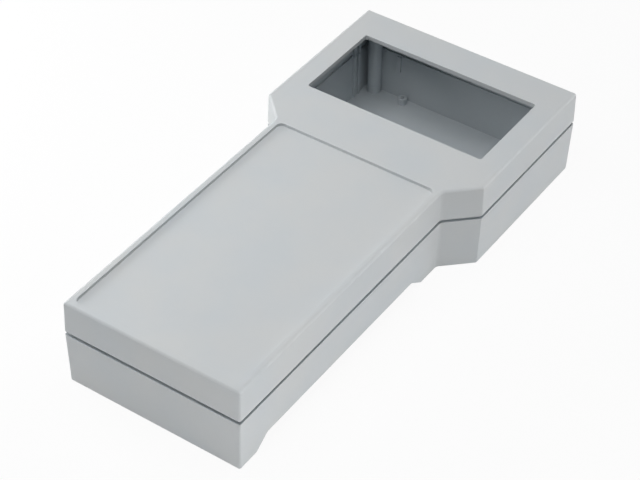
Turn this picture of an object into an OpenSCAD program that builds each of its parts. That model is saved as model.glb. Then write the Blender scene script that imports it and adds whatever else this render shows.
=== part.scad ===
// Hand-held instrument case: two moulded half shells, closed from below by six long screws.
// The case lies on its back with the window upwards, and its length runs along Y.
// Lengths along Y are counted from the grip end, and every piece is moved at the end so
// that the origin is the middle of the base.

/* [Case] */
// Length over all
case_len = 210; // [205:1:220]
// Width of the head
head_w = 98.6; // [97:0.2:104]
// Width of the grip
grip_w = 76; // [74:0.5:79]
// Grip end to the start of the shoulders
shoulder_start = 127.5; // [126.5:0.5:128.5]
// Length of the sloping shoulders
shoulder_len = 11; // [9:0.5:12]
// Height of the lower shell at its outer face
lower_h = 22.9; // [22:0.1:26]
// Height of the upper shell at its outer face
upper_h = 13.65; // [13:0.05:17]
// Radius of the upright outer corners
corner_r = 0.8; // [0.6:0.1:2]
// Radius of the hollow corners where the shoulders leave the grip
shoulder_r = 2.5; // [1:0.5:4]
// Radius of the upper edge
top_edge_r = 1.2; // [0.4:0.1:1.2]
// Radius of the lower edge
base_edge_r = 0.8; // [0.4:0.1:1.2]
// How far the lower shell draws in towards its base
lower_draft = 0.55; // [0.2:0.05:0.8]
// How far the upper shell draws in towards its top
upper_draft = 0.2; // [0.1:0.05:0.4]

/* [Walls] */
// Thickness of the side walls
wall = 2.6; // [2.4:0.1:2.8]
// Thickness of the floor
floor_t = 2.5; // [2.2:0.1:3]
// Thickness of the roof round the window
roof_t = 2; // [2:0.1:3]
// Radius of the upright inner corners
inner_r = 1; // [0.5:0.1:1.5]

/* [Joint between the shells] */
// Height of the shadow groove round the case
joint_gap = 1.55; // [1.2:0.05:1.6]
// Height of the tongue above the wall of the lower shell
tongue_h = 1.3; // [1.2:0.1:2]
// Gap between the top of the tongue and the upper shell
tongue_gap = 0.25; // [0.1:0.05:0.4]
// Thickness of the lip that covers the tongue
lip_t = 1.2; // [1:0.1:1.3]
// Play between the tongue and the lip
tongue_play = 0.1; // [0.05:0.05:0.2]
// Thickness of the tongue
tongue_t = 0.6; // [0.5:0.1:0.7]
// Height of the wall inside the tongue above the ledge outside it
inside_h = 0.4; // [0.2:0.1:0.5]
// Thickness of the inner part of the lip, which reaches further down over the tongue
skirt_t = 0.6; // [0.5:0.05:0.7]
// How far the inner part of the lip reaches down past its outer part
skirt_h = 0.75; // [0.5:0.05:0.9]

/* [Window] */
// Width of the window
window_w = 79.2; // [70:0.2:80]
// Length of the window along the case
window_len = 41.8; // [36:0.2:42]
// Grip end to the near edge of the window
window_start = 151.9; // [151.8:0.1:153]
// Corner radius of the window
window_r = 1; // [0.5:0.1:2]

/* [Keypad recess] */
// Width of the recess
recess_w = 70.2; // [60:0.2:70.4]
// Length of the recess
recess_len = 123.6; // [110:0.2:124]
// Grip end to the near edge of the recess
recess_start = 3; // [2.8:0.1:5]
// Depth of the recess
recess_depth = 1.3; // [0.8:0.1:1.4]
// Corner radius of the recess
recess_r = 2.5; // [1:0.5:5]
// Thickness of the roof under the recess
recess_roof_t = 1.6; // [1.5:0.1:1.8]

/* [Waist under the grip] */
// Grip end to the foot of the near ramp
foot_len = 9.5; // [9:0.1:10]
// Height of the waist above the surface that the case lies on
waist_h = 5.5; // [5:0.1:6]
// Grip end to the top of the far ramp
waist_end = 109.5; // [106:0.5:111]
// Length of the near ramp
near_ramp = 7; // [6:0.5:8]
// Length of the far ramp
far_ramp = 8; // [7:0.5:9]
// Radius that blends the ramps
ramp_r = 3; // [1:0.5:3]

/* [Screw columns] */
// Radius of a column
column_r = 2.9; // [2.9:0.1:3.1]
// Side wall's outer face to the centre of a column
column_side = 7.7; // [7.5:0.1:8]
// How far a column at an end of the case runs into the end wall
column_sunk = 0.3; // [0.2:0.1:0.6]
// Grip end to the columns at the shoulders
shoulder_column = 142; // [141.5:0.5:142.5]
// Thickness of the webs that tie the columns to the walls
web_t = 1.6; // [1.2:0.1:2]
// Radius of the clearance hole in the lower shell
screw_hole_r = 1.6; // [1.55:0.05:1.7]
// Radius of the pilot hole in the upper shell
pilot_r = 1.2; // [1.15:0.05:1.3]
// Depth of the pilot hole
pilot_depth = 10; // [9:0.5:10]

/* [Screws] */
// Length of a screw, head included
screw_len = 32; // [30:0.5:32]
// Radius over the thread
screw_r = 1.45; // [1.4:0.05:1.5]
// Radius of the core that stands in the pilot hole
core_r = 1.15; // [1:0.05:1.15]
// Radius of the flat head
screw_head_r = 2.75; // [2.6:0.05:2.8]
// Depth of the head below the base
screw_sink = 0.15; // [0.05:0.05:0.3]
// Play round the head in its seat
seat_play = 0.4; // [0.3:0.05:0.6]

/* [Board and display fixings] */
// Radius of a board standoff
standoff_r = 1.8; // [1.6:0.1:2]
// Height of a standoff above the floor
standoff_h = 3; // [2:0.5:4]
// Radius of the pilot holes for boards and display
board_hole_r = 0.8; // [0.7:0.05:0.9]
// Distance of a standoff from the middle of the case
standoff_x = 26.9; // [20:0.1:28]
// Grip end to the near standoffs in the head
head_standoff_start = 143.6; // [140:0.2:150]
// Distance between the near and far standoffs in the head
head_standoff_pitch = 60.4; // [50:0.2:60.4]
// Grip end to the near standoffs in the grip
grip_standoff_start = 24; // [20:1:30]
// Distance between the near and far standoffs in the grip
grip_standoff_pitch = 80; // [70:1:82]
// Radius of a display post
post_r = 2; // [1.8:0.1:2.2]
// Height of a display post below the roof
post_h = 2; // [1.5:0.1:2.2]
// Distance of a display post from the middle of the case
post_x = 37; // [35:0.5:37]
// Edge of the window to the centre of a display post
post_from_window = 4.7; // [4.5:0.1:5]

/* [Ribs on the walls] */
// Thickness of a guide rib
guide_t = 1.5; // [1:0.1:1.6]
// Distance between the two guide ribs of a pair, centre to centre
guide_pitch = 3.1; // [3:0.1:3.4]
// How far a guide rib stands out of the wall at the joint
guide_out = 1.3; // [0.8:0.1:1.5]
// Grip end to the middle of a pair of guide ribs
guide_y = 197.3; // [196:0.1:198]
// Distance of an end wall rib from the middle of the case
end_rib_x = 31.3; // [28:0.1:34]
// Width of an end wall rib
end_rib_w = 2.1; // [1.5:0.1:3]
// Length of an end wall rib down from the top of the wall
end_rib_h = 7.6; // [5:0.1:10]
// How far an end wall rib stands out of the wall
end_rib_out = 1; // [0.6:0.1:1.2]

/* [Hidden] */
case_colour = "#c4cac9";
screw_colour = "#b9bcc0";
$fn = 48;
arc_steps = 5;
edge_steps = 4;
least_r = 0.2;
over = 1;
clearance = 0.3;

head_x = head_w / 2;
grip_x = grip_w / 2;
joint_z = lower_h + joint_gap;
skirt_z = joint_z - skirt_h;
tongue_z = lower_h + tongue_h;
inside_z = lower_h + inside_h;
rebate_z = tongue_z + tongue_gap;
case_h = joint_z + upper_h;
roof_z = case_h - roof_t;
window_end = window_start + window_len;
recess_end = recess_start + recess_len;

// Corners of the plan, anticlockwise, and whether each one stands out or is hollow
corners = [[-grip_x, 0], [grip_x, 0], [grip_x, shoulder_start], [head_x, shoulder_start + shoulder_len],
    [head_x, case_len], [-head_x, case_len], [-head_x, shoulder_start + shoulder_len],
    [-grip_x, shoulder_start]];
stands_out = [true, true, false, true, true, true, true, false];

// Centres of the screws and of the fixings
column_end = wall + column_r - column_sunk;
far_column = [head_x - column_side, case_len - column_end];
mid_column = [head_x - column_side, shoulder_column];
grip_column = [grip_x - column_side, column_end];
columns = [[-far_column[0], far_column[1]], far_column, [-mid_column[0], mid_column[1]], mid_column,
    [-grip_column[0], grip_column[1]], grip_column];
head_standoff_y = [head_standoff_start, head_standoff_start + head_standoff_pitch];
grip_standoff_y = [grip_standoff_start, grip_standoff_start + grip_standoff_pitch];
post_y = [window_start - post_from_window, window_end + post_from_window];

// Plane geometry
function unit(v) = v / norm(v);
function left_of(v) = [-v[1], v[0]];
function turned(v, a) = [v[0] * cos(a) - v[1] * sin(a), v[0] * sin(a) + v[1] * cos(a)];

// One corner of a line, from the edge before it to the edge after it, rounded to radius r
function arc_at(before, here, after, r) =
    let (
        into = unit(here - before),
        out = unit(after - here),
        turn = atan2(cross(into, out), into * out),
        start = here - into * r * tan(abs(turn) / 2),
        centre = start + left_of(into) * r * sign(turn)
    )
    [for (i = [0:arc_steps]) centre + turned(start - centre, turn * i / arc_steps)];

// A closed outline with each corner rounded to its own radius
function rounded(pts, radii) =
    let (n = len(pts))
    [for (i = [0:n - 1]) each arc_at(pts[(i + n - 1) % n], pts[i], pts[(i + 1) % n], radii[i])];

// An anticlockwise outline moved inwards by gap
function inset(pts, gap) =
    let (n = len(pts))
    [for (i = [0:n - 1])
        let (
            a = left_of(unit(pts[i] - pts[(i + n - 1) % n])),
            b = left_of(unit(pts[(i + 1) % n] - pts[i]))
        )
        pts[i] + (a + b) * gap / (1 + a * b)];

// Plan of the case, moved inwards by gap, with radius r on the corners that stand out
function plan(gap, r) =
    rounded(inset(corners, gap), [for (out = stands_out) out ? r : shoulder_r + gap]);

function ring(gap, z, r) = [for (p = plan(gap, r)) [p[0], p[1], z]];

// Radius of the upright corners where a rounded edge has drawn in by in
function drawn_in(in) = max(corner_r - in, least_r);

function rectangle(x, y0, y1, r) =
    rounded([[-x, y0], [x, y0], [x, y1], [-x, y1]], [r, r, r, r]);

// Side view of the base: foot, near ramp, waist and far ramp, with all four bends rounded
waist_bends = [[0, 0], [foot_len, 0], [foot_len + near_ramp, waist_h], [waist_end, waist_h],
    [waist_end + far_ramp, 0], [case_len, 0]];
waist_line = [for (i = [1:4])
    each arc_at(waist_bends[i - 1], waist_bends[i], waist_bends[i + 1], ramp_r)];
waist_last = waist_line[len(waist_line) - 1];

// Closed solid through a stack of rings that have the same number of points. Both ends are closed
// by strips across the case, each from a point on the right to its like on the left
module loft(rings) {
    n = len(rings[0]);
    m = len(rings);
    first = arc_steps + 1;
    ends = [for (i = [first:first + n / 2 - 2])
        let (j = (2 * first - 1 - i + n) % n, k = (j + n - 1) % n)
        [j, i, i + 1, k]];
    sides = [for (k = [0:m - 2], i = [0:n - 1])
        [k * n + i, (k + 1) * n + i, (k + 1) * n + (i + 1) % n, k * n + (i + 1) % n]];
    lids = [for (e = ends) [for (i = [3:-1:0]) e[i] + (m - 1) * n]];
    polyhedron(points = [for (r = rings) each r], faces = concat(ends, sides, lids));
}

// Prism right across the case, from the line of the base raised by lift down to z0
module under_waist(lift, z0) {
    line = [for (p = waist_line) p + [0, lift]];
    translate([head_x, 0, 0])
        rotate([90, 0, -90])
            mirror([1, 0, 0])
                linear_extrude(2 * head_x)
                    polygon(concat([[line[0][0], z0]], line, [[waist_last[0], z0]]));
}

// Outer form of the lower shell, with its tongue
module lower_body() {
    edge = [for (i = [0:edge_steps])
        let (a = 90 - 90 * i / edge_steps, in = base_edge_r * (1 - cos(a)))
        ring(lower_draft + in, base_edge_r * (1 - sin(a)), drawn_in(in))];
    ledge = lip_t + tongue_play;
    loft(concat(edge, [ring(0, lower_h, corner_r), ring(ledge, lower_h, inner_r),
        ring(ledge, tongue_z, inner_r)]));
}

// Hollow of the lower shell: its floor follows the waist, and its wall steps back to the tongue
module lower_hollow() {
    tongue_in = lip_t + tongue_play + tongue_t;
    difference() {
        loft([ring(wall + lower_draft, floor_t, inner_r), ring(wall, inside_z, inner_r),
            ring(tongue_in, inside_z, inner_r), ring(tongue_in, tongue_z + over, inner_r)]);
        under_waist(floor_t, 0);
    }
}

// Outer form of the upper shell, with the lip round its lower edge
module upper_body() {
    edge = [for (i = [0:edge_steps])
        let (a = 90 * i / edge_steps, in = top_edge_r * (1 - cos(a)))
        ring(upper_draft + in, case_h - top_edge_r * (1 - sin(a)), drawn_in(in))];
    step = lip_t - skirt_t;
    loft(concat([ring(step, skirt_z, inner_r), ring(step, joint_z, inner_r), ring(0, joint_z, corner_r)],
        edge));
}

// Hollow of the upper shell, with the rebate that takes the tongue
module upper_hollow() {
    loft([ring(lip_t, skirt_z - over, inner_r), ring(lip_t, rebate_z, inner_r),
        ring(wall, rebate_z, inner_r), ring(wall + upper_draft, roof_z, inner_r)]);
}

// Thicker roof under the keypad recess
module recess_floor() {
    z = case_h - recess_depth - recess_roof_t;
    x = grip_x - wall / 2;
    translate([-x, wall / 2, z])
        cube([2 * x, recess_end + recess_roof_t - wall / 2, roof_z + over / 2 - z]);
}

// Round columns from z0 to z1, each tied by a web to its nearest wall
module screw_columns(z0, z1) {
    side_web = column_side - wall / 2;
    end_web = column_end - wall / 2;
    for (p = columns) {
        translate([p[0], p[1], z0])
            cylinder(r = column_r, h = z1 - z0);
        if (p[1] == shoulder_column)
            translate([p[0] - (p[0] < 0 ? side_web : 0), p[1] - web_t / 2, z0])
                cube([side_web, web_t, z1 - z0]);
        else
            translate([p[0] - web_t / 2, p[1] - (p[1] < shoulder_column ? end_web : 0), z0])
                cube([web_t, end_web, z1 - z0]);
    }
}

// The pairs of upright guide ribs on both side walls of the head, from z0 to z1
module guide_ribs(z0, z1) {
    for (side = [0, 1], step = [-0.5, 0.5])
        mirror([side, 0, 0])
            translate([head_x - wall - guide_out, guide_y + step * guide_pitch - guide_t / 2, z0])
                cube([guide_out + clearance, guide_t, z1 - z0]);
}

// Short ribs at the top of the far wall of the lower shell
module end_ribs() {
    for (side = [-1, 1])
        translate([side * end_rib_x - end_rib_w / 2, case_len - wall - end_rib_out, lower_h - end_rib_h])
            cube([end_rib_w, end_rib_out + wall / 2, end_rib_h]);
}

// Round fixings at every pair of x and y, from z0 up by h
module fixings(x, ys, z0, h, r) {
    for (side = [-1, 1], y = ys)
        translate([side * x, y, z0])
            cylinder(r = r, h = h);
}

// Fixings at all the board standoffs, from lift above the floor
module at_standoffs(lift, h, r) {
    fixings(standoff_x, head_standoff_y, floor_t + lift, h, r);
    fixings(standoff_x, grip_standoff_y, waist_h + floor_t + lift, h, r);
}

module in_place() {
    translate([0, -case_len / 2, 0])
        children();
}

module lower_shell() {
    seat_r = screw_head_r + seat_play;
    color(case_colour)
        in_place()
            difference() {
                union() {
                    difference() {
                        lower_body();
                        lower_hollow();
                        under_waist(0, -over);
                    }
                    screw_columns(floor_t - over, tongue_z);
                    guide_ribs(floor_t - over, inside_z);
                    end_ribs();
                    at_standoffs(-over, standoff_h + over, standoff_r);
                }
                for (p = columns)
                    translate([p[0], p[1], -over]) {
                        cylinder(r = screw_hole_r, h = case_h);
                        cylinder(r1 = seat_r + over, r2 = 0, h = seat_r + over);
                    }
                at_standoffs(0, standoff_h + over, board_hole_r);
            }
}

module upper_shell() {
    post_z = roof_z - post_h;
    color(case_colour)
        in_place()
            difference() {
                union() {
                    difference() {
                        upper_body();
                        upper_hollow();
                    }
                    screw_columns(tongue_z, roof_z + over);
                    guide_ribs(inside_z + clearance, roof_z + over);
                    recess_floor();
                    fixings(post_x, post_y, post_z, post_h + over, post_r);
                }
                translate([0, 0, roof_z - over])
                    linear_extrude(roof_t + 2 * over)
                        polygon(rectangle(window_w / 2, window_start, window_end, window_r));
                translate([0, 0, case_h - recess_depth])
                    linear_extrude(recess_depth + over)
                        polygon(rectangle(recess_w / 2, recess_start, recess_end, recess_r));
                for (p = columns)
                    translate([p[0], p[1], tongue_z - over])
                        cylinder(r = pilot_r, h = pilot_depth + over);
                fixings(post_x, post_y, post_z - over, post_h + 2 * over, board_hole_r);
            }
}

// Flat-headed screw with a cross recess; its thread is drawn as a plain shank
module closing_screw(i) {
    cone_h = screw_head_r - screw_r;
    rim = 0.25;
    tip = 1.5;
    slot_len = 3.2;
    slot_w = 0.7;
    slot_depth = 1.2;
    core_z = tongue_z - screw_sink - clearance;
    color(screw_colour)
        in_place()
            translate([columns[i][0], columns[i][1], screw_sink])
                difference() {
                    rotate_extrude()
                        polygon([[0, 0], [screw_head_r, 0], [screw_head_r, rim],
                            [screw_r, rim + cone_h], [screw_r, core_z],
                            [core_r, core_z + screw_r - core_r], [core_r, screw_len - tip],
                            [0, screw_len]]);
                    for (turn = [0, 90])
                        rotate([0, 0, turn])
                            translate([-slot_len / 2, -slot_w / 2, -over])
                                cube([slot_len, slot_w, slot_depth + over]);
                }
}

lower_shell();
upper_shell();
closing_screw(0);  // screw_far_left
closing_screw(1);  // screw_far_right
closing_screw(2);  // screw_shoulder_left
closing_screw(3);  // screw_shoulder_right
closing_screw(4);  // screw_grip_left
closing_screw(5);  // screw_grip_right
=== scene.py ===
import math

import bpy
from mathutils import Matrix, Vector


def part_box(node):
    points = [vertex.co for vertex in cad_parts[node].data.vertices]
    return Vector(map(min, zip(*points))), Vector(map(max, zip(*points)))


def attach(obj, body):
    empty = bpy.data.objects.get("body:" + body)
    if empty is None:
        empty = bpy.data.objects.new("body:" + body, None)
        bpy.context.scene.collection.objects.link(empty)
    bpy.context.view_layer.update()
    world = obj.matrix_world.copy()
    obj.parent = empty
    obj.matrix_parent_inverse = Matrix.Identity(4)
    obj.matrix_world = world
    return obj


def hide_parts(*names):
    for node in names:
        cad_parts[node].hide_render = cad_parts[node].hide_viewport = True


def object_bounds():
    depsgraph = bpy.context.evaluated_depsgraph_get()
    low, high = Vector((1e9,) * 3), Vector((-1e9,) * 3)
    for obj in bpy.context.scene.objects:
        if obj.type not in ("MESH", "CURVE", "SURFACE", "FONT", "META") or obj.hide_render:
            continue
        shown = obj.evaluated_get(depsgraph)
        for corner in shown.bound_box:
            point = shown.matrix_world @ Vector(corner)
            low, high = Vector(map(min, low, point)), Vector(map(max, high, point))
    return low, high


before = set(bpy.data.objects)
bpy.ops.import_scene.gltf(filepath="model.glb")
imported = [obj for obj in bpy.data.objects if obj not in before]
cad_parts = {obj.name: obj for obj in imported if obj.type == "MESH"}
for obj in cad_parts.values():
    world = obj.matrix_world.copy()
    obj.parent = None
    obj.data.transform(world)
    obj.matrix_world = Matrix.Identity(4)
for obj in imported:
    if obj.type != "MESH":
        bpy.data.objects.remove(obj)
cadLow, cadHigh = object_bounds()
mm = 0.001
print("frame loaded,", len(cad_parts), "nodes")


# Small helpers

def selectOnly(*objects):
    bpy.ops.object.select_all(action="DESELECT")
    for item in objects:
        item.select_set(True)
    bpy.context.view_layer.objects.active = objects[0]


def newObject(name, data):
    item = bpy.data.objects.new(name, data)
    bpy.context.scene.collection.objects.link(item)
    return item


def applyModifier(piece, kind, **settings):
    selectOnly(piece)
    modifier = piece.modifiers.new(kind.title(), kind)
    for key, value in settings.items():
        setattr(modifier, key, value)
    bpy.ops.object.modifier_apply(modifier=modifier.name)


# Leaves the piece in edit mode with only the faces selected that pass the test
def pickFaces(piece, test):
    selectOnly(piece)
    bpy.ops.object.mode_set(mode="EDIT")
    bpy.ops.mesh.select_mode(type="FACE")
    bpy.ops.mesh.select_all(action="DESELECT")
    bpy.ops.object.mode_set(mode="OBJECT")
    for face in piece.data.polygons:
        face.select = test(face)
    bpy.ops.object.mode_set(mode="EDIT")


# Written as #rrggbb, used as linear light
def linearColour(hexText):
    parts = [int(hexText[i:i + 2], 16) / 255 for i in (1, 3, 5)]
    return tuple(c / 12.92 if c <= 0.04045 else ((c + 0.055) / 1.055) ** 2.4 for c in parts) + (1,)


# Adds one node: a setting is an input's name or number, or else one of the node's own properties
def addNode(tree, kind, settings=None, links=None):
    node = tree.nodes.new(kind)
    for key, value in (settings or {}).items():
        if isinstance(key, int) or key in node.inputs:
            node.inputs[key].default_value = value
        else:
            setattr(node, key, value)
    for key, source in (links or {}).items():
        tree.links.new(source, node.inputs[key])
    return node


def emptyMaterial(name):
    material = bpy.data.materials.new(name)
    material.use_nodes = True
    material.node_tree.nodes.clear()
    return material, material.node_tree


# Materials

# Light grey ABS, injection moulded in a spark-eroded mould: a fine even grain that scatters the
# light, so it looks matt, with very faint clouds in the pigment where the melt has flowed
absSettings = {
    "outerColours": ("#cacdce", "#c6cbce"),
    # The inside is the same plastic; its darker, bluer colours are painted shade, the cool tone of the
    # shadowed inside of the case
    "shadedInnerColours": ("#c2c8cc", "#bfc6ca"),
    "cloudSize": 24,             # mm
    "cloudDetail": 3,
    "cloudRoughness": 0.45,
    "cloudRange": (0.35, 0.65),  # the part of the noise that the two colours are spread over
    "grainSize": 0.55,           # mm, drawn coarser than the real 0.15 mm so that it shows
    "grainDetail": 2,
    "grainRoughness": 0.6,
    "grainRange": (0.3, 0.7),
    "grainHeight": 0.012,        # mm
    "innerGrainShare": 0.3,      # the core side of the mould is only ground, so the inside is smoother
    "outerRoughness": (0.5, 0.6),
    "innerRoughness": (0.4, 0.48),
    "refraction": 1.54,
}


def mouldedAbs(name, colours, grainShare, roughness):
    s = absSettings
    material, tree = emptyMaterial(name)
    place = addNode(tree, "ShaderNodeTexCoord").outputs["Object"]
    clouds = addNode(tree, "ShaderNodeTexNoise",
                     {"Scale": 1 / (s["cloudSize"] * mm), "Detail": s["cloudDetail"],
                      "Roughness": s["cloudRoughness"]},
                     {"Vector": place}).outputs["Fac"]
    cloudShare = addNode(tree, "ShaderNodeMapRange",
                         {"From Min": s["cloudRange"][0], "From Max": s["cloudRange"][1]},
                         {"Value": clouds}).outputs["Result"]
    colour = addNode(tree, "ShaderNodeMix",
                     {"data_type": "RGBA", 6: linearColour(colours[0]), 7: linearColour(colours[1])},
                     {0: cloudShare}).outputs[2]
    grain = addNode(tree, "ShaderNodeTexNoise",
                    {"Scale": 1 / (s["grainSize"] * mm), "Detail": s["grainDetail"],
                     "Roughness": s["grainRoughness"]},
                    {"Vector": place}).outputs["Fac"]
    gloss = addNode(tree, "ShaderNodeMapRange",
                    {"From Min": s["grainRange"][0], "From Max": s["grainRange"][1],
                     "To Min": roughness[0], "To Max": roughness[1]},
                    {"Value": grain}).outputs["Result"]
    bump = addNode(tree, "ShaderNodeBump",
                   {"Strength": 1.0, "Distance": s["grainHeight"] * grainShare * mm},
                   {"Height": grain}).outputs["Normal"]
    shader = addNode(tree, "ShaderNodeBsdfPrincipled", {"IOR": s["refraction"]},
                     {"Base Color": colour, "Roughness": gloss, "Normal": bump})
    addNode(tree, "ShaderNodeOutputMaterial", None, {"Surface": shader.outputs[0]})
    return material


# Zinc plated steel with a clear bluish passivation: bright, finely mottled, slightly milky
zincSettings = {
    "colour": "#cfd4da",
    "darkColour": "#b4bac2",
    "mottleSize": 0.5,  # mm
    "mottleDetail": 4,
    "mottleRange": (0.3, 0.7),
    "roughness": (0.24, 0.4),
}


def zincPlatedSteel():
    s = zincSettings
    material, tree = emptyMaterial("zincPlatedSteel")
    place = addNode(tree, "ShaderNodeTexCoord").outputs["Object"]
    mottle = addNode(tree, "ShaderNodeTexNoise",
                     {"Scale": 1 / (s["mottleSize"] * mm), "Detail": s["mottleDetail"]},
                     {"Vector": place}).outputs["Fac"]
    colour = addNode(tree, "ShaderNodeMix",
                     {"data_type": "RGBA", 6: linearColour(s["colour"]),
                      7: linearColour(s["darkColour"])},
                     {0: mottle}).outputs[2]
    gloss = addNode(tree, "ShaderNodeMapRange",
                    {"From Min": s["mottleRange"][0], "From Max": s["mottleRange"][1],
                     "To Min": s["roughness"][0], "To Max": s["roughness"][1]},
                    {"Value": mottle}).outputs["Result"]
    shader = addNode(tree, "ShaderNodeBsdfPrincipled", {"Metallic": 1},
                     {"Base Color": colour, "Roughness": gloss})
    addNode(tree, "ShaderNodeOutputMaterial", None, {"Surface": shader.outputs[0]})
    return material


outerAbs = mouldedAbs("mouldedAbsGrained", absSettings["outerColours"], 1,
                      absSettings["outerRoughness"])
# The inside: smoother, and coloured with painted shade
innerShadedAbs = mouldedAbs("mouldedAbsSmoothShaded", absSettings["shadedInnerColours"],
                      absSettings["innerGrainShare"], absSettings["innerRoughness"])
steel = zincPlatedSteel()
print("materials made")


# The two shells: the CAD mouldings with the small radii that a mould leaves on every edge

shellSettings = {
    "weld": 0.01,        # mm, points closer than this are one
    "flat": 0.4,         # degrees, triangles this flat to each other become one face
    "edgeRadius": 0.1,   # mm
    "edgeSteps": 2,
    "edgeAngle": 30,     # degrees, sharper edges than this get the radius
    "smoothAngle": 50,   # degrees, blunter edges than this are shaded smooth
    "bigFacePull": 80,   # how far large faces set the shading at their corners
    "groundRoom": 1.0,   # mm, edges lower than this keep their sharp corner
    "roofRoom": 3.0,     # mm, in the upper shell only the rim and edges this near the top get it
    "rim": 0.3,          # mm, an edge this near the outline is the rim
    "levelRise": 0.9,    # a face whose normal rises or falls more than this is level
    "downRise": -0.1,    # a face whose normal rises less than this looks down
    "skin": 1.0,         # mm, faces this near the outside of the case carry the grain
    "topSkin": 1.5,      # mm, and so do the top and the keypad recess
    "underSkin": 7,      # mm, and what looks down below this height
    "rampRise": 0.3,     # faces between this and level slope
    "rampArea": 100,     # mm2, and where they are larger than this they are the ramps of the base
    "gripHalf": 38,      # mm, half widths of grip and head, and the shoulders between them
    "headHalf": 49.3,
    "shoulderStart": 22.5,
    "shoulderEnd": 33.5,
}


# Half the width of the case at a place along it
def halfWidth(y):
    s = shellSettings
    share = min(max((y - s["shoulderStart"]) / (s["shoulderEnd"] - s["shoulderStart"]), 0), 1)
    return s["gripHalf"] + share * (s["headHalf"] - s["gripHalf"])


# How far a place lies inside the outline of the case
def rimDepth(x, y):
    return min(halfWidth(y) - abs(x), cadHigh.y / mm - abs(y))


def isOutside(face):
    s = shellSettings
    x, y, z = (v / mm for v in face.center)
    looksDown = face.normal.z < s["downRise"]
    onTop = z > cadHigh.z / mm - s["topSkin"] and not looksDown
    underneath = z < s["underSkin"] and looksDown
    return onTop or underneath or rimDepth(x, y) < s["skin"]


# The flat rings that go right round the lower edge of the upper shell stay as triangles, because one
# face can't have a hole in it
def isJointRing(face, isUpper):
    s = shellSettings
    low = face.center.z < cadHigh.z - s["roofRoom"] * mm
    return isUpper and low and abs(face.normal.z) > s["levelRise"]


# There is no room for the radius on the fine steps of the joint, nor where a ramp runs out into the
# rounded rim of the base
def hasRoom(mesh, edge, isUpper):
    s = shellSettings
    ends = [mesh.vertices[i].co / mm for i in edge.vertices]
    lowest = min(end.z for end in ends)
    onRim = max(rimDepth(end.x, end.y) for end in ends) < s["rim"]
    if isUpper:
        return onRim or lowest > cadHigh.z / mm - s["roofRoom"]
    return lowest > s["groundRoom"]


# Gives the sharp edges that have room their share of the bevel
def markRounded(shell, isUpper):
    selectOnly(shell)
    bpy.ops.object.mode_set(mode="EDIT")
    bpy.ops.mesh.select_mode(type="EDGE")
    bpy.ops.mesh.select_all(action="DESELECT")
    bpy.ops.mesh.edges_select_sharp(sharpness=math.radians(shellSettings["edgeAngle"]))
    bpy.ops.object.mode_set(mode="OBJECT")
    roomy = [edge.index for edge in shell.data.edges
             if edge.select and hasRoom(shell.data, edge, isUpper)]
    bpy.ops.object.mode_set(mode="EDIT")
    bpy.ops.mesh.select_all(action="DESELECT")
    bpy.ops.object.mode_set(mode="OBJECT")
    for i in roomy:
        shell.data.edges[i].select = True
    bpy.ops.object.mode_set(mode="EDIT")
    bpy.ops.transform.edge_bevelweight(value=1)
    bpy.ops.object.mode_set(mode="OBJECT")


# The ramps are flat right into their corners, where the radius of the side edge starts beside them
def isRamp(face):
    s = shellSettings
    slopes = s["rampRise"] < abs(face.normal.z) < s["levelRise"]
    return slopes and face.area > s["rampArea"] * mm * mm


def mouldedShell(nodeName, pieceName):
    s = shellSettings
    isUpper = nodeName == "upper_shell"
    shell = newObject(pieceName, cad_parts[nodeName].data.copy())
    selectOnly(shell)
    if shell.data.has_custom_normals:
        bpy.ops.mesh.customdata_custom_splitnormals_clear()
    bpy.ops.object.mode_set(mode="EDIT")
    bpy.ops.mesh.select_mode(type="VERT")
    bpy.ops.mesh.select_all(action="SELECT")
    bpy.ops.mesh.remove_doubles(threshold=s["weld"] * mm)
    bpy.ops.object.mode_set(mode="OBJECT")
    pickFaces(shell, lambda face: not isJointRing(face, isUpper))
    bpy.ops.mesh.dissolve_limited(angle_limit=math.radians(s["flat"]))
    bpy.ops.object.mode_set(mode="OBJECT")
    markRounded(shell, isUpper)
    applyModifier(shell, "BEVEL", width=s["edgeRadius"] * mm, segments=s["edgeSteps"],
                  limit_method="WEIGHT", use_clamp_overlap=False)
    bpy.ops.object.shade_smooth_by_angle(angle=math.radians(s["smoothAngle"]))
    for face in shell.data.polygons:
        if isRamp(face):
            face.use_smooth = False
    applyModifier(shell, "WEIGHTED_NORMAL", keep_sharp=True, weight=s["bigFacePull"])
    shell.data.materials.clear()
    shell.data.materials.append(outerAbs)
    shell.data.materials.append(innerShadedAbs)
    # Faces inside the case get the inner material, whose darker, bluer colour is painted shade
    for face in shell.data.polygons:
        face.material_index = 0 if isOutside(face) else 1
    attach(shell, "root")
    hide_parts(nodeName)
    return shell


lowerShell = mouldedShell("lower_shell", "lowerShell")
upperShell = mouldedShell("upper_shell", "upperShell")
print("shells made,", len(lowerShell.data.polygons) + len(upperShell.data.polygons), "faces")


# Closing screws: countersunk self-tapping screws with a cross recess, head down

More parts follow.
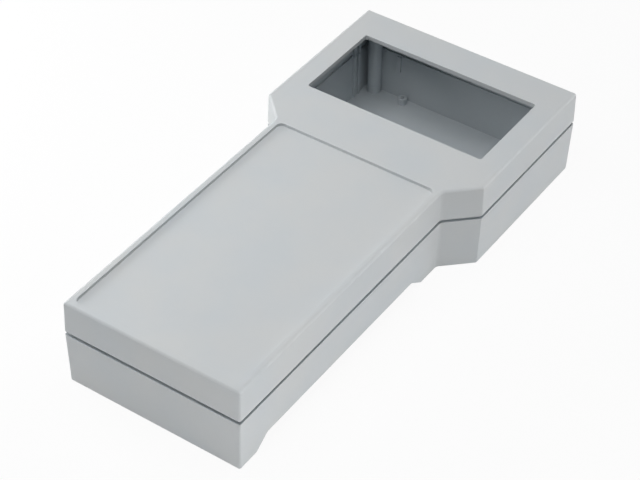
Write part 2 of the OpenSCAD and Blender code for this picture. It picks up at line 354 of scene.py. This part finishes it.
screwSettings = {
    # in mm, where nothing else is said
    "headRadius": 2.75,
    "headRim": 0.25,
    "coreRadius": 1.02,
    "neckFlare": 0.35,            # the neck under the cone starts this much wider than the core
    "neckLength": 0.5,
    "tipLength": 2.2,
    "tipRadius": 0.12,
    "sides": 40,
    "smoothAngle": 34,            # degrees
    "threadRadius": 1.45,
    "pitch": 1.34,
    "threadFoot": 0.24,           # half the width of the thread's foot, as a share of the pitch
    "threadSunk": 0.12,           # the foot lies this deep in the core
    "threadFade": 0.8,            # turns over which each end of the thread runs out
    "threadLeast": 0.25,          # share of its height that is left at the very end
    "threadGap": 1.2,             # from the cone to the first turn
    "threadOnTip": 0.4,
    "threadSteps": 20,            # round each turn
    "recessLength": 3.1,
    "recessWidth": 0.78,
    "recessDepth": 1.7,
    "recessTaper": (0.34, 0.62),  # length and width at the bottom, as a share of those at the mouth
    "recessOver": 1,              # the cutting bars stand this far out of the head
    "turns": {"screw_far_left": 12, "screw_far_right": 71, "screw_shoulder_left": 38,
              "screw_shoulder_right": 55, "screw_grip_left": 83, "screw_grip_right": 24},  # degrees
}


# Head, core and tip, drawn up in stages from one disc
def screwBlank(length):
    s = screwSettings
    bpy.ops.mesh.primitive_cylinder_add(vertices=s["sides"], radius=s["headRadius"] * mm,
                                        depth=s["headRim"] * mm,
                                        location=(0, 0, s["headRim"] * mm / 2))
    blank = bpy.context.object
    bpy.ops.object.transform_apply(location=True, rotation=True, scale=True)
    topZ = s["headRim"]
    radius = s["headRadius"]
    cone = s["headRadius"] - s["coreRadius"] - s["neckFlare"]
    shank = length - s["headRim"] - cone - s["neckLength"] - s["tipLength"]
    stages = [(cone, s["coreRadius"] + s["neckFlare"]), (s["neckLength"], s["coreRadius"]),
              (shank, s["coreRadius"]), (s["tipLength"], s["tipRadius"])]
    pickFaces(blank, lambda face: face.normal.z > 0.5)
    for rise, newRadius in stages:
        topZ += rise
        bpy.ops.mesh.extrude_region_move(TRANSFORM_OT_translate={"value": (0, 0, rise * mm)})
        share = newRadius / radius
        bpy.ops.transform.resize(value=(share, share, 1), center_override=(0, 0, topZ * mm))
        radius = newRadius
    bpy.ops.object.mode_set(mode="OBJECT")
    return blank


# The cross recess is cut by two crossed bars that narrow towards the bottom
def cutRecess(blank):
    s = screwSettings
    depth = s["recessDepth"] + s["recessOver"]
    bars = []
    for turn in (0, 90):
        bpy.ops.object.select_all(action="DESELECT")
        bpy.ops.mesh.primitive_cube_add(size=1, location=(0, 0, 0))
        bar = bpy.context.object
        bar.scale = (s["recessLength"] * mm, s["recessWidth"] * mm, depth * mm)
        bar.location = (0, 0, (depth / 2 - s["recessOver"]) * mm)
        bpy.ops.object.transform_apply(location=True, rotation=True, scale=True)
        pickFaces(bar, lambda face: face.normal.z > 0.5)
        bpy.ops.transform.resize(value=s["recessTaper"] + (1,),
                                 center_override=(0, 0, s["recessDepth"] * mm))
        bpy.ops.mesh.select_all(action="SELECT")
        bpy.ops.transform.rotate(value=math.radians(turn), orient_axis="Z",
                                 center_override=(0, 0, 0))
        bpy.ops.object.mode_set(mode="OBJECT")
        bars.append(bar)
    for bar in bars:
        applyModifier(blank, "BOOLEAN", object=bar, operation="DIFFERENCE", solver="EXACT")
        bpy.data.objects.remove(bar)


# A triangle wound up the core; both ends run out into it
def screwThread(startZ, endZ):
    s = screwSettings
    half = s["pitch"] * s["threadFoot"]
    inner = s["coreRadius"] - s["threadSunk"]
    middle = (inner + s["threadRadius"]) / 2
    mesh = bpy.data.meshes.new("threadProfile")
    mesh.from_pydata([(inner * mm, 0, -half * mm), (s["threadRadius"] * mm, 0, 0),
                      (inner * mm, 0, half * mm)],
                     [(0, 1), (1, 2), (2, 0)], [])
    thread = newObject("screwThread", mesh)
    turns = int((endZ - startZ) / s["pitch"])
    applyModifier(thread, "SCREW", axis="Z", steps=s["threadSteps"], render_steps=s["threadSteps"],
                  screw_offset=s["pitch"] * mm, iterations=turns, use_merge_vertices=True)
    run = s["pitch"] * s["threadFade"]
    least = s["threadLeast"]
    for vertex in thread.data.vertices:
        z = vertex.co.z / mm
        outside = Vector((vertex.co.x, vertex.co.y)).length / mm
        fade = min(1, max(0, min(z / run, (turns * s["pitch"] - z) / run)))
        if outside > middle:
            share = (inner + (outside - inner) * (least + (1 - least) * fade)) / outside
            vertex.co.x *= share
            vertex.co.y *= share
        vertex.co.z += startZ * mm
    selectOnly(thread)
    bpy.ops.object.mode_set(mode="EDIT")
    bpy.ops.mesh.select_mode(type="EDGE")
    bpy.ops.mesh.select_all(action="DESELECT")
    bpy.ops.mesh.select_non_manifold()
    bpy.ops.mesh.edge_face_add()
    bpy.ops.mesh.select_all(action="SELECT")
    bpy.ops.mesh.normals_make_consistent(inside=False)
    bpy.ops.object.mode_set(mode="OBJECT")
    return thread


def closingScrew():
    s = screwSettings
    low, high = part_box("screw_far_left")
    length = (high.z - low.z) / mm
    blank = screwBlank(length)
    cutRecess(blank)
    coneEnd = s["headRim"] + s["headRadius"] - s["coreRadius"]
    thread = screwThread(coneEnd + s["threadGap"], length - s["tipLength"] + s["threadOnTip"])
    selectOnly(blank, thread)
    bpy.ops.object.join()
    blank.name = "screwPattern"
    blank.data.materials.clear()
    blank.data.materials.append(steel)
    bpy.ops.object.shade_smooth_by_angle(angle=math.radians(s["smoothAngle"]))
    return blank


pattern = closingScrew()
for nodeName, turn in screwSettings["turns"].items():
    low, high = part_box(nodeName)
    side, end = nodeName.split("_")[1:]
    screw = newObject("closingScrew" + side.title() + end.title(), pattern.data.copy())
    centre = Vector(((low.x + high.x) / 2, (low.y + high.y) / 2, low.z))
    screw.data.transform(Matrix.Translation(centre) @ Matrix.Rotation(math.radians(turn), 4, "Z"))
    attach(screw, "root")
    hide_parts(nodeName)
bpy.data.objects.remove(pattern)
print("screws made")


# 1 where the camera, a reflection or a view through glass looks at the surroundings, 0 for light
# that falls on the object
def seenNotLit(tree):
    path = addNode(tree, "ShaderNodeLightPath")
    mirrored = addNode(tree, "ShaderNodeMath", {"operation": "MAXIMUM"},
                       {0: path.outputs["Is Glossy Ray"],
                        1: path.outputs["Is Transmission Ray"]}).outputs[0]
    return addNode(tree, "ShaderNodeMath", {"operation": "MAXIMUM"},
                   {0: path.outputs["Is Camera Ray"], 1: mirrored}).outputs[0]


# Floor: a wide pale sheet that the camera sees nearly white, with the case's soft shadow on it

floorSettings = {"width": 6, "colour": "#e9e9e9", "whiteShare": 0.93}  # width in m

bpy.ops.object.select_all(action="DESELECT")
bpy.ops.mesh.primitive_plane_add(size=floorSettings["width"], location=(0, 0, 0))
floor = bpy.context.object
floor.name = "studioFloor"
floorPaint, tree = emptyMaterial("paleFloorPaint")
whiteShare = addNode(tree, "ShaderNodeMath",
                     {"operation": "MULTIPLY", 1: floorSettings["whiteShare"]},
                     {0: seenNotLit(tree)}).outputs[0]
paint = addNode(tree, "ShaderNodeBsdfDiffuse", {"Color": linearColour(floorSettings["colour"])})
glow = addNode(tree, "ShaderNodeEmission", {"Color": (1, 1, 1, 1), "Strength": 1})
both = addNode(tree, "ShaderNodeMixShader", None,
               {0: whiteShare, 1: paint.outputs[0], 2: glow.outputs[0]})
addNode(tree, "ShaderNodeOutputMaterial", None, {"Surface": both.outputs[0]})
floor.data.materials.append(floorPaint)
print("floor made")


# Light: a dim even world and soft lamps. A level of 1 lights a face turned to the lamp so that its
# colour renders as written

worldSettings = {"level": 0.05, "seenLevel": 1}

world = bpy.data.worlds.new("whiteStudio")
bpy.context.scene.world = world
world.use_nodes = True
tree = world.node_tree
tree.nodes.clear()
level = addNode(tree, "ShaderNodeMapRange",
                {"To Min": worldSettings["level"], "To Max": worldSettings["seenLevel"]},
                {"Value": seenNotLit(tree)}).outputs["Result"]
sky = addNode(tree, "ShaderNodeBackground", {"Color": (1, 1, 1, 1)}, {"Strength": level})
addNode(tree, "ShaderNodeOutputWorld", None, {"Surface": sky.outputs[0]})

lampSettings = {
    # name: azimuth and elevation in degrees, distance, width and height in m, level
    "overhead": (0, 88, 0.7, 0.7, 0.7, 0.285),
    "overGrip": (-10, 78, 0.4, 0.35, 0.35, 0.375),
    "backFill": (150, 45, 0.8, 0.7, 0.7, 0.188),
    "lowLeft": (-80, 22, 0.35, 0.3, 0.15, 0.56),
    # long low cards on the floor, which light the sides but hardly the top or the groove
    "frontCard": (-20, 4, 0.3, 0.35, 0.035, 0.065),
    "nearCard": (50, 4, 0.24, 0.25, 0.035, 0.19),
    "farCard": (135, 1.3, 0.8, 0.8, 0.035, 0.37),
}


# A direction seen from the object: azimuth 0 is the grip's end and 90 its right side
def directionOf(azimuth, elevation):
    a, e = math.radians(azimuth), math.radians(elevation)
    return Vector((math.sin(a) * math.cos(e), -math.cos(a) * math.cos(e), math.sin(e)))


# Stands an object away from a point, looking back at it
def lookingBack(aim, away, distance):
    return (Matrix.Translation(aim + away * distance)
            @ (-away).to_track_quat("-Z", "Y").to_matrix().to_4x4())


def softLamp(name, azimuth, elevation, distance, width, height, level):
    data = bpy.data.lights.new(name, "AREA")
    data.shape = "RECTANGLE"
    data.size = width
    data.size_y = height
    data.energy = level * math.pi ** 2 * distance ** 2
    lamp = newObject(name, data)
    lamp.matrix_world = lookingBack(Vector(), directionOf(azimuth, elevation), distance)


for name, values in lampSettings.items():
    softLamp(name, *values)
print("lights made")


# Camera: a long lens over the near right corner of the grip

cameraSettings = {
    "lens": 112.5,
    "sensorWidth": 36,
    "azimuth": 33.38,
    "elevation": 41.42,
    "roll": 1.49,
    "distance": 744.7,          # mm from the point that it aims at
    "aim": (4.88, -9.01, 20),   # mm
}

cameraData = bpy.data.cameras.new("camera")
cameraData.lens = cameraSettings["lens"]
cameraData.sensor_width = cameraSettings["sensorWidth"]
camera = newObject("camera", cameraData)
camera.matrix_world = (lookingBack(Vector(cameraSettings["aim"]) * mm,
                                   directionOf(cameraSettings["azimuth"], cameraSettings["elevation"]),
                                   cameraSettings["distance"] * mm)
                       @ Matrix.Rotation(math.radians(cameraSettings["roll"]), 4, "Z"))
bpy.context.scene.camera = camera
bpy.context.scene.view_settings.view_transform = "Standard"
print("camera set")
